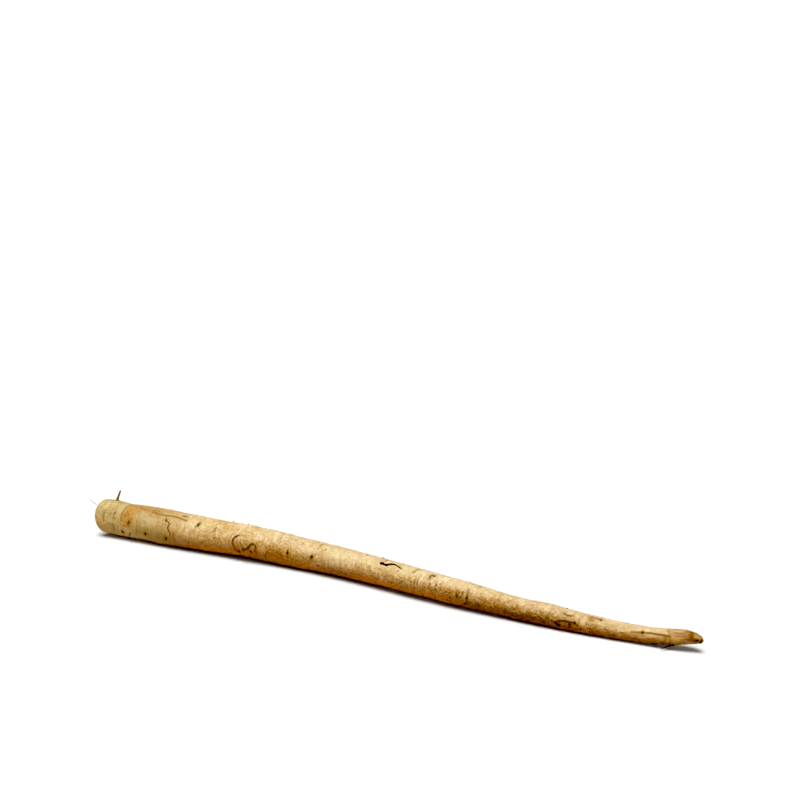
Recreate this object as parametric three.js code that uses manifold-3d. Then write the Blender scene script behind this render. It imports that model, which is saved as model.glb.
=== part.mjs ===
// Burdock root: one long, slim taproot lying on its side. The crown, cut across with a
// knife, is at -X and the blunt broken tip is at +X. The skin carries shallow ring creases
// that run part of the way round, lens-shaped scars, broken rootlet stubs, two long splits
// and a few thin dark rootlets that hug the skin. It is all one grown piece.
// Millimetres, +Z up. The origin is on the resting plane, under the middle of the root.
// A place on the skin is [x along the root from the crown, angle round it, height above it]:
// angle 0 is the top, 90 the front (-Y), 180 the underside and 270 the back.

import * as THREE from 'three';
import { mergeVertices } from 'three/addons/utils/BufferGeometryUtils.js';
import Module from 'manifold-3d';

// ---- Driving dimensions ----

const LENGTH = 510;
const CROWN_RADIUS = 14;
const MIDDLE_X = 252;
const MIDDLE_Y = -3.5;

// Radius along the root, as a share of CROWN_RADIUS.
const PROFILE = [
  [0, 0.97], [10, 0.99], [24, 0.969], [50, 1.012], [72, 1.009], [120, 0.928], [172, 0.9],
  [218, 0.825], [246, 0.774], [290, 0.728], [330, 0.676], [356, 0.608], [375, 0.56],
  [402, 0.56], [432, 0.484], [460, 0.415], [487, 0.39], [499, 0.38], [506, 0.297],
  [LENGTH, 0.227],
];

// Sideways wander of the root's middle line, + towards the back.
const BEND = [
  [0, -1.4], [45, 0.2], [95, 1.6], [145, 2.9], [190, 3.4], [235, -0.2], [285, -7.1],
  [330, -12.2], [375, -15.1], [417, -16.1], [446, -15.9], [474, -14.7], [492, -13.5],
  [LENGTH, -12.3],
];

// Gap under the root. It is just below zero where the root rests, at 70, 188 and 418.
const LIFT = [
  [0, 1.2], [40, 0.1], [70, -0.35], [100, 0.2], [135, 1.2], [165, 0.3], [188, -0.35],
  [212, 0.2], [250, 0.9], [290, 1.1], [330, 1], [370, 0.6], [400, -0.1], [418, -0.35],
  [436, 0], [465, 0.7], [490, 2.6], [LENGTH, 6.2],
];

// Out-of-round section: share of the radius, and turns of the bulge along the root.
const OVAL = 0.018;
const OVAL_TURN = 1.3;
const LOBES = 0.01;
const LOBES_TURN = -0.9;

// Facets: around the root, longest gap between two rows, rounding of the two ends.
const AROUND = 20;
const LONGEST_GAP = 9;
const CROWN_ROWS = [[0, 0.89], [0.9, 0.97], [2.2, 1]];
const TIP_ROWS = [[499, 1], [503, 1], [506, 0.999], [508.2, 0.94], [LENGTH, 0.82]];

// How far each end is out of square: moved along, then per unit of up and of front.
const CROWN_LEAN = [1, -2, -2.5];
const CROWN_FADE = 14;
const TIP_LEAN = [0.7, 0.3, 1.2];
const TIP_FADE = 12;

// Ring creases: partial rings, closer together near the crown.
const FIRST_CREASE = 9;
const LAST_CREASE = 492;
const CREASE_STEP = 8.2;
const CREASE_STEP_GROWTH = 6;
const CREASE_HALF_WIDTH = 1.3;
const CREASE_DEPTH = 0.3;
const CREASE_DEPTH_SPREAD = 0.35;
const CREASE_REACH = 45;
const CREASE_REACH_SPREAD = 60;

// Scars, as [x, angle, half length round the root]: shallow lens-shaped pits.
const SCARS = [
  [17.5, 51, 1.2], [26, 116, 1.8], [32.8, 77, 2.2], [49.4, 105, 1.8], [67.6, 45, 1.2],
  [69.5, 109, 2.1], [82.1, 15, 1.3], [97.7, 39, 1.9], [182.2, 79, 1.5], [204.9, 75, 1.9],
  [311.2, 19, 1.2], [316, 61, 1.2], [333.4, 84, 1.4], [341.6, 80, 1.6], [339.8, 115, 1.4],
  [409.8, 101, 1.3], [412, 108, 1.4], [420.2, 92, 1.5], [423.6, 76, 1.2], [441.2, 19, 1.2],
  [471.4, 54, 1.3],
];
const HIDDEN_SCARS = 14;
const SCAR_WIDTH_SHARE = 0.66;
const SCAR_DEPTH = 0.75;

// Broken rootlet stubs: low blunt nubs.
const STUBS = 14;
const STUB_RADIUS = 0.85;
const STUB_HEIGHT = 0.6;
const SUNK = 1.6;

// Long splits in the skin, as a route over it.
const SPLITS = [
  {
    route: [[45, 19, 0.3], [51.3, 23, 0.2], [54.3, 25, 0.15], [59.3, 28, 0.15], [66.7, 27, 0.15],
      [71, 25, 0.15], [75, 24, 0.15], [79, 27, 0.15], [82.2, 30, 0.2], [86, 32, 0.3]],
    radius: 0.7,
  },
  {
    route: [[464, 62, 0.2], [472.2, 57, 0.1], [477.2, 52, 0.1], [483.8, 58, 0.1], [490.2, 69, 0.25]],
    radius: 0.4,
  },
];

// Rootlets: each a route from its root under the skin to its tip, and its thickness there.
const ROOTLETS = [
  {
    route: [[10.2, -8, -2], [11, -8, 0.1], [11.7, -8, 2.8], [12.6, -8, 6], [13.5, -8, 9.6]],
    thick: [2.6, 1.3],
  },
  { route: [[2.5, 36, -1.4], [-0.4, 36, 0.2], [-3.5, 35, 3.2], [-5.2, 35, 7.7]], thick: [0.8, 0.55] },
  {
    route: [[67.8, 37, -1], [67.6, 45, 0.3], [70.6, 50, 0.4], [71.8, 56, 0.3], [71.1, 67, 0.4],
      [72.6, 78, 0.3], [73.9, 85, 0.4], [73.6, 95, 0.1]],
    thick: [0.8, 0.6],
  },
  {
    route: [[138.4, 50, -1.2], [136.1, 54, 0.3], [133.9, 60, 0.5], [132.3, 71, 0.5], [132.3, 83, 0.5],
      [133.5, 95, 0.5], [135.1, 107, 0.5], [138.7, 120, 0.2]],
    thick: [0.8, 1.4],
  },
  {
    route: [[140.2, 103, -1.2], [142, 101, 0.5], [144, 98, 0.6], [146, 93, 0.5], [147.4, 84, 0.5],
      [149.1, 75, 0.6], [151.1, 71, 0.6], [152.9, 75, 0.6], [153.2, 84, 0.5], [152.6, 92, 0.6],
      [153.6, 100, 0.6], [154.2, 112, 0.3]],
    thick: [1.5, 0.6],
  },
  { route: [[148, 100, -1], [148.6, 103, 0.3], [150.4, 112, 0.2]], thick: [1, 0.5] },
  { route: [[265.2, 32, -1.3], [265.9, 30, 0.3], [267, 29, 0.5], [268.3, 30, 0.3]], thick: [2.5, 1.9] },
  {
    route: [[267.2, 29, 0.2], [269.6, 31, 0.5], [271.9, 26, 0.7], [274.2, 20.5, 0.7],
      [276.7, 17.5, 0.7], [279.9, 22, 0.6], [281.8, 26, 0.7], [284.2, 30, 0.6]],
    thick: [1.35, 0.6],
  },
  { route: [[269, 36, -0.6], [271.4, 33, 0.3], [273.6, 25, 0.3], [275.8, 20, 0.2]], thick: [0.8, 0.5] },
  { route: [[492.4, 140, -1], [491.8, 138, 0.3], [490, 135, 0.9], [488.4, 132, 1.7]], thick: [1.7, 1.1] },
  {
    route: [[489, 133, 1.2], [487.6, 130, 2.2], [486.1, 128, 3.3], [485, 127, 4.3], [484.4, 129, 4.7]],
    thick: [0.9, 0.45],
  },
  { route: [[475.6, 144, -1], [477.4, 140, 0.2], [479.4, 136, 0.6], [481.6, 133, 1.1]], thick: [0.85, 0.5] },
  { route: [[34, 112, -1], [33, 120, 1], [32.4, 130, 2.4], [33.4, 139, 2.6]], thick: [0.7, 0.5] },
];
const HIDDEN_ROOTLETS = 7;
const ROOTLET_SIDES = 5;
const ROOTLET_STEP = 3.4;

// Knife for the resting places: everything under the resting plane goes.
const UNDER = 20;

const SKIN_COLOUR = 0xc9a468;
const SKIN_ROUGHNESS = 0.85;

// ---- Curves and seeded chance ----

// Smooth value at s through hand-set points [s, value].
function through(points, s) {
  const last = points.length - 1;
  const at = Math.min(Math.max(s, points[0][0]), points[last][0]);
  let i = 0;
  while (i < last - 1 && at >= points[i + 1][0]) i += 1;
  const slope = (k) => {
    const low = points[Math.max(k - 1, 0)];
    const high = points[Math.min(k + 1, last)];
    return (high[1] - low[1]) / (high[0] - low[0]);
  };
  const step = points[i + 1][0] - points[i][0];
  const u = (at - points[i][0]) / step;
  const keep = 2 * u ** 3 - 3 * u ** 2 + 1;
  const lean = (u ** 3 - 2 * u ** 2 + u) * step * slope(i);
  const leanNext = (u ** 3 - u ** 2) * step * slope(i + 1);
  return keep * points[i][1] + lean + (1 - keep) * points[i + 1][1] + leanNext;
}

// Repeatable chance from 0 to 1 for item `number`, with a `salt` for each use.
function chance(number, salt) {
  const value = Math.sin(number * 12.9898 + salt * 78.233) * 43758.5453;
  return value - Math.floor(value);
}

const radians = THREE.MathUtils.degToRad;

// ---- The root's form ----

// Radius of the smooth skin, before creases.
function skinRadius(x, angle) {
  const turn = (2 * Math.PI * x) / LENGTH;
  const oval = OVAL * Math.cos(2 * radians(angle) + OVAL_TURN * turn);
  const lobes = LOBES * Math.cos(3 * radians(angle) + LOBES_TURN * turn);
  return CROWN_RADIUS * through(PROFILE, x) * (1 + oval + lobes);
}

// Middle line of the root, in the part's frame.
function middleLine(x) {
  const y = through(BEND, x) - MIDDLE_Y;
  return new THREE.Vector3(x - MIDDLE_X, y, skinRadius(x, 180) + through(LIFT, x));
}

// Directions of the cross-section at x: along the root, up and front.
function section(x) {
  const inside = Math.min(Math.max(x, 1), LENGTH - 1);
  const along = middleLine(inside + 1).sub(middleLine(inside - 1)).normalize();
  const up = new THREE.Vector3(0, 0, 1).addScaledVector(along, -along.z).normalize();
  return { along, up, front: new THREE.Vector3().crossVectors(along, up) };
}

// Point `height` above the skin. Past either end it runs straight on.
function place(x, angle, height = 0) {
  const inside = Math.min(Math.max(x, 0), LENGTH);
  const { along, up, front } = section(inside);
  const reach = skinRadius(inside, angle) + height;
  return middleLine(inside)
    .addScaledVector(along, x - inside)
    .addScaledVector(up, reach * Math.cos(radians(angle)))
    .addScaledVector(front, reach * Math.sin(radians(angle)));
}

// Smallest turn between two angles, 0 to 180.
function angleBetween(a, b) {
  return Math.abs(((a - b + 540) % 360) - 180);
}

function ringCreases() {
  const creases = [];
  let x = FIRST_CREASE;
  for (let number = 0; x < LAST_CREASE; number += 1) {
    creases.push({
      x,
      angle: 360 * chance(number, 1),
      reach: CREASE_REACH + CREASE_REACH_SPREAD * chance(number, 2),
      depth: CREASE_DEPTH + CREASE_DEPTH_SPREAD * chance(number, 3),
    });
    const step = CREASE_STEP + (CREASE_STEP_GROWTH * x) / LENGTH;
    x += step * (0.7 + 0.6 * chance(number, 4));
  }
  return creases;
}

// Depth of one crease at an angle: full in its middle, none past its reach.
function creaseDepth(crease, angle) {
  const away = Math.min(angleBetween(angle, crease.angle) / crease.reach, 1);
  return crease.depth * Math.cos((away * Math.PI) / 2) ** 2;
}

// Rows of the skin: { x, share of the radius, crease }, from the crown to the tip.
function skinRows() {
  const marked = CROWN_ROWS.map(([x, share]) => ({ x, share }));
  for (const crease of ringCreases()) {
    marked.push({ x: crease.x - CREASE_HALF_WIDTH, share: 1 });
    marked.push({ x: crease.x, share: 1, crease });
    marked.push({ x: crease.x + CREASE_HALF_WIDTH, share: 1 });
  }
  for (const [x, share] of TIP_ROWS) marked.push({ x, share });
  const rows = [marked[0]];
  for (const next of marked.slice(1)) {
    const from = rows[rows.length - 1].x;
    const pieces = Math.ceil((next.x - from) / LONGEST_GAP);
    for (let i = 1; i < pieces; i += 1) rows.push({ x: from + ((next.x - from) * i) / pieces, share: 1 });
    rows.push(next);
  }
  return rows;
}

// Both ends are cut and broken a little out of square.
function slantedX(x, angle) {
  const lean = ([move, perUp, perFront]) => (
    move + perUp * Math.cos(radians(angle)) + perFront * Math.sin(radians(angle))
  );
  const crownFade = Math.max(1 - x / CROWN_FADE, 0);
  const tipFade = Math.max(1 - (LENGTH - x) / TIP_FADE, 0);
  return x + crownFade * lean(CROWN_LEAN) + tipFade * lean(TIP_LEAN);
}

// ---- Closed meshes ----

// Solid inside a list of rings, each going from up towards the front, closed at both ends.
function closedSkin(rings) {
  const around = rings[0].length;
  const corners = rings.flat();
  const faces = [];
  for (let row = 0; row + 1 < rings.length; row += 1) {
    for (let column = 0; column < around; column += 1) {
      const a = row * around + column;
      const b = row * around + ((column + 1) % around);
      faces.push(a, b, a + around, b, b + around, a + around);
    }
  }
  const first = corners.length;
  corners.push(centreOf(rings[0]), centreOf(rings[rings.length - 1]));
  const lastRow = (rings.length - 1) * around;
  for (let column = 0; column < around; column += 1) {
    const next = (column + 1) % around;
    faces.push(first, next, column);
    faces.push(first + 1, lastRow + column, lastRow + next);
  }
  const geometry = new THREE.BufferGeometry().setFromPoints(corners);
  geometry.setIndex(faces);
  return geometry;
}

function centreOf(ring) {
  const sum = new THREE.Vector3();
  for (const point of ring) sum.add(point);
  return sum.divideScalar(ring.length);
}

function rootBody() {
  const rings = skinRows().map(({ x, share, crease }) => {
    const ring = [];
    for (let column = 0; column < AROUND; column += 1) {
      const angle = (360 * column) / AROUND;
      const depth = crease ? creaseDepth(crease, angle) : 0;
      const inset = (1 - share) * skinRadius(x, angle);
      ring.push(place(slantedX(x, angle), angle, -depth - inset));
    }
    return ring;
  });
  return closedSkin(rings);
}

// Round thread along a route over the skin, from one thickness to another.
function thread(route, [thickStart, thickEnd]) {
  const curve = new THREE.CatmullRomCurve3(route.map((spot) => place(...spot)));
  const steps = Math.max(Math.ceil(curve.getLength() / ROOTLET_STEP), route.length - 1);
  const frames = curve.computeFrenetFrames(steps);
  const rings = [];
  for (let step = 0; step <= steps; step += 1) {
    const centre = curve.getPointAt(step / steps);
    const radius = (thickStart + ((thickEnd - thickStart) * step) / steps) / 2;
    const ring = [];
    for (let side = 0; side < ROOTLET_SIDES; side += 1) {
      const turn = (2 * Math.PI * side) / ROOTLET_SIDES;
      const point = centre.clone();
      point.addScaledVector(frames.normals[step], radius * Math.cos(turn));
      point.addScaledVector(frames.binormals[step], radius * Math.sin(turn));
      ring.push(point);
    }
    rings.push(ring);
  }
  return closedSkin(rings);
}

// Turn and move a shape whose +Y points out of the root and whose X runs along it.
function stoodOnSkin(geometry, x, angle, height) {
  const { along } = section(x);
  const spot = place(x, angle, height);
  const out = place(x, angle, 1).sub(place(x, angle, 0)).normalize();
  const round = new THREE.Vector3().crossVectors(along, out);
  geometry.applyMatrix4(new THREE.Matrix4().makeBasis(along, out, round).setPosition(spot));
  return geometry;
}

function scarPit(x, angle, halfLength) {
  const pit = new THREE.SphereGeometry(1, 8, 4);
  pit.scale(halfLength * SCAR_WIDTH_SHARE, SCAR_DEPTH, halfLength);
  return stoodOnSkin(pit, x, angle, 0);
}

function stub(x, angle, size) {
  const height = (STUB_HEIGHT + SUNK) * size;
  const nub = new THREE.CylinderGeometry(0.6 * STUB_RADIUS * size, STUB_RADIUS * size, height, 6);
  return stoodOnSkin(nub, x, angle, STUB_HEIGHT * size - height / 2);
}

// ---- What the skin carries on the sides that are set by rule ----

function allScars() {
  const scars = [...SCARS];
  for (let number = 0; number < HIDDEN_SCARS; number += 1) {
    const x = 22 + (LENGTH - 60) * ((number + chance(number, 11)) / HIDDEN_SCARS);
    scars.push([x, 200 + 140 * chance(number, 12), 1.1 + 0.7 * chance(number, 13)]);
  }
  return scars;
}

function allStubs() {
  const stubs = [];
  for (let number = 0; number < STUBS; number += 1) {
    const x = 40 + (LENGTH - 75) * ((number + 0.8 * chance(number, 21)) / STUBS);
    const angle = -140 + 280 * chance(number, 22);
    stubs.push([x, angle, 0.6 + 0.4 * chance(number, 23)]);
  }
  return stubs;
}

function allRootlets() {
  const rootlets = [...ROOTLETS];
  for (let number = 0; number < HIDDEN_ROOTLETS; number += 1) {
    const x = 30 + (LENGTH - 70) * ((number + 0.7 * chance(number, 31)) / HIDDEN_ROOTLETS);
    const angle = -135 + 80 * chance(number, 32);
    const run = 5 + 6 * chance(number, 33);
    const swing = 30 * (chance(number, 34) - 0.5);
    const route = [
      [x, angle, -1.2],
      [x + 0.35 * run, angle + 0.6 * swing, 0.6],
      [x + 0.7 * run, angle + swing + 8, 0.7],
      [x + run, angle + swing + 2, 0.9],
    ];
    rootlets.push({ route, thick: [1.1, 0.6] });
  }
  return rootlets;
}

// ---- Joining and cutting ----

const library = await Module();
library.setup();

function solid(geometry) {
  const bare = geometry.clone();
  bare.deleteAttribute('normal');
  bare.deleteAttribute('uv');
  const merged = mergeVertices(bare, 1e-4);
  return new library.Manifold(new library.Mesh({
    numProp: 3,
    vertProperties: merged.attributes.position.array,
    triVerts: new Uint32Array(merged.index.array),
  }));
}

function meshGeometry(shape) {
  const { vertProperties, triVerts } = shape.getMesh();
  const geometry = new THREE.BufferGeometry();
  geometry.setAttribute('position', new THREE.BufferAttribute(vertProperties, 3));
  geometry.setIndex(new THREE.BufferAttribute(triVerts, 1));
  geometry.computeVertexNormals();
  return geometry;
}

function burdockRoot() {
  let root = solid(rootBody());
  for (const spot of allScars()) root = root.subtract(solid(scarPit(...spot)));
  for (const { route, radius } of SPLITS) root = root.subtract(solid(thread(route, [radius, 2 * radius])));
  for (const spot of allStubs()) root = root.add(solid(stub(...spot)));
  for (const { route, thick } of allRootlets()) root = root.add(solid(thread(route, thick)));
  const under = new THREE.BoxGeometry(2 * LENGTH, 2 * LENGTH, UNDER);
  under.translate(0, 0, -UNDER / 2);
  return meshGeometry(root.subtract(solid(under)));
}

const skin = new THREE.MeshStandardMaterial({
  color: SKIN_COLOUR,
  roughness: SKIN_ROUGHNESS,
  metalness: 0,
});

const root = new THREE.Mesh(burdockRoot(), skin);
root.name = 'burdock_root';

const group = new THREE.Group();
group.add(root);

export default group;
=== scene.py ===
# Looks of a burdock root: one long tan taproot lying on its side, its crown cut across at -X
# and its blunt broken tip at +X, with ring creases, scars, splits and dark dried rootlets.
# The root's form is worked out in millimetres, in the root's own measure: x along it from the
# crown, and the angle round it, 0 at the top, 90 at the front (-Y), 180 under, 270 behind.
# Made objects are in metres.

import itertools
import math

import bpy
import numpy as np
from mathutils import Matrix, Vector


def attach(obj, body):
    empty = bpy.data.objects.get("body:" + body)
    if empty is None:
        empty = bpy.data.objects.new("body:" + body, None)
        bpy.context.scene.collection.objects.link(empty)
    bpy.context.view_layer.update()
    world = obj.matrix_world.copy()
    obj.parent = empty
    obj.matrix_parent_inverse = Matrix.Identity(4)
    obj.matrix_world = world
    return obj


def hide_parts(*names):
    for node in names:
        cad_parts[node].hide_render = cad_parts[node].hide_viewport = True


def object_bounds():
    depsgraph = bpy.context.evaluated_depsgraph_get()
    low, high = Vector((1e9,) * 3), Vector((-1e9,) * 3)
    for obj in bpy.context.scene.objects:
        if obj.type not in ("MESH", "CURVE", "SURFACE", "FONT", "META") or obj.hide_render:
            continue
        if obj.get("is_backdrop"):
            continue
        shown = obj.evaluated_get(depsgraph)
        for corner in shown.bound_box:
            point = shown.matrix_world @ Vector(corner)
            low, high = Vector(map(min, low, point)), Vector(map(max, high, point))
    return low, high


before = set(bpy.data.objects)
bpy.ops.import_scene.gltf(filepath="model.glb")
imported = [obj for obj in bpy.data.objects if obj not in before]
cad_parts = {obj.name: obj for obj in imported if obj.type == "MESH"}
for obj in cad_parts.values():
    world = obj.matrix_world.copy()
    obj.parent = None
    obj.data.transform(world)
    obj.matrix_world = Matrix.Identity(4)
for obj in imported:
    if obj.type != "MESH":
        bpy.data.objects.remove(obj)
cad_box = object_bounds()

MM = 0.001
BODY = "root"
NODE = "burdock_root"

# ---- The root's sizes, millimetres ----

LENGTH = 510.0
CROWN_RADIUS = 14.0
MIDDLE_X = 252.0
MIDDLE_Y = -3.5

# Radius along the root, as a share of CROWN_RADIUS.
PROFILE = [
    (0, 0.97), (10, 0.99), (24, 0.969), (50, 1.012), (72, 1.009), (120, 0.928), (172, 0.9),
    (218, 0.825), (246, 0.774), (290, 0.728), (330, 0.676), (356, 0.608), (375, 0.56),
    (402, 0.56), (432, 0.484), (460, 0.415), (487, 0.39), (499, 0.38), (506, 0.297),
    (LENGTH, 0.227),
]

# Sideways wander of the middle line, + towards the back.
BEND = [
    (0, -1.4), (45, 0.2), (95, 1.6), (145, 2.9), (190, 3.4), (235, -0.2), (285, -7.1),
    (330, -12.2), (375, -15.1), (417, -16.1), (446, -15.9), (474, -14.7), (492, -13.5),
    (LENGTH, -12.3),
]

# Gap under the root, just below zero at its three resting places.
LIFT = [
    (0, 1.2), (40, 0.1), (70, -0.35), (100, 0.2), (135, 1.2), (165, 0.3), (188, -0.35),
    (212, 0.2), (250, 0.9), (290, 1.1), (330, 1), (370, 0.6), (400, -0.1), (418, -0.35),
    (436, 0), (465, 0.7), (490, 2.6), (LENGTH, 6.2),
]

OVAL = 0.018
OVAL_TURN = 1.3
LOBES = 0.01
LOBES_TURN = -0.9

# Knife-cut crown and broken tip.
CROWN_LEAN = (1.0, -2.0, -2.5)
CROWN_FADE = 14.0
CROWN_ROUND = 2.2
CROWN_EDGE_SHARE = 0.89
CUT_DISH = 0.35
TIP_LEAN = (0.7, 0.3, 1.2)
TIP_FADE = 12.0
TIP_ROUND = 4.4
TIP_END_SHARE = 0.82
TIP_BULGE = 0.5
TIP_RAGGED = 0.3

# Mesh fineness.
ROWS = 790
COLUMNS = 116
COLUMN_ANGLES = np.arange(COLUMNS) * 360 / COLUMNS
CUT_RINGS = 20
TIP_RINGS = 7

# Ring creases that run part of the way round, closer together near the crown.
FIRST_CREASE = 9.0
LAST_CREASE = 492.0
CREASE_STEP = 8.2
CREASE_STEP_GROWTH = 6.0
CREASE_DEPTH = 0.3
CREASE_DEPTH_SPREAD = 0.35
CREASE_REACH = 45.0
CREASE_REACH_SPREAD = 60.0
CREASE_WIDTH = 0.9
# Painted shade in the creases grows with their depth.
CREASE_SHADE = 1.2
LIP_SHARE = 0.35
LIP_PLACE = 2.2

# Fine wrinkles between the creases.
WRINKLES = 420
WRINKLE_DEPTH = 0.2
WRINKLE_WIDTH = 0.55
WRINKLE_REACH = 14.0
WRINKLE_REACH_SPREAD = 50.0

# Scars: (x, angle, half length round the root, darkness, tail up, tail down), the tails left
# out where there are none.
SCARS = [
    (17.5, 51, 1.2, 0.85), (26, 116, 1.8, 0.95, 0.6, 0), (32.8, 77, 2.2, 0.75, 1.4, 1.2),
    (49.4, 105, 1.8, 0.95, 0.8, 0.4), (67.6, 45, 1.2, 0.8), (69.5, 109, 2.1, 0.95),
    (82.1, 15, 1.3, 0.9), (97.7, 39, 1.9, 0.95, 0.8, 0.2), (182.2, 79, 1.5, 0.95, 2.5, 2),
    (134.1, 108, 0.9, 0.85), (137.6, 116, 1.1, 0.9), (149, 104, 1.1, 0.8, 0, 0.5),
    (152.3, 99, 0.8, 0.65), (185.4, 18, 0.7, 0.5), (192.5, 29, 0.6, 0.45),
    (204.9, 75, 1.9, 0.95, 1.4, 0.6), (214.6, 32, 0.9, 0.6), (282, 43, 0.7, 0.5),
    (311.2, 19, 1.2, 0.95), (316, 61, 1.2, 0.85, 1.2, 0.5), (316.4, 79, 0.9, 0.5, 0.6, 1),
    (309, 72, 0.8, 0.4), (333.4, 84, 1.4, 0.7, 4.5, 2), (341.6, 80, 1.6, 0.8, 6, 3.5),
    (338.2, 66, 0.9, 0.65, 1, 0), (337, 82, 0.9, 0.8, 1, 0.6), (339.8, 115, 1.4, 0.9, 1, 0.5),
    (351, 98, 1.0, 0.8, 0.6, 0), (409.8, 101, 1.3, 1, 1, 2), (412, 108, 1.4, 1),
    (423.6, 76, 1.2, 1, 0.6, 1), (420.2, 92, 1.5, 1, 0.6, 0.4), (441.2, 19, 1.2, 0.9, 0, 0.6),
    (434.5, 11, 1.0, 0.75, 0, 1), (471.4, 54, 1.3, 0.95, 0.5, 0.4), (509.6, 86, 1.4, 1.0),
    (507.1, 88, 1.3, 0.95),
]
HIDDEN_SCARS = 14
SMALL_SCARS = 70
SCAR_WIDTH_SHARE = 0.66
SCAR_DEPTH = 0.75
SCAR_RIM = 0.12
SCAR_LEAN = 0.16
TAIL_WIDTH = 0.45
TAIL_DEPTH = 0.16

# Route of the crack near the tip: (x, angle).
CRACK = [(464, 62), (472.2, 57), (477.2, 52), (483.8, 58), (490.2, 69)]

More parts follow.
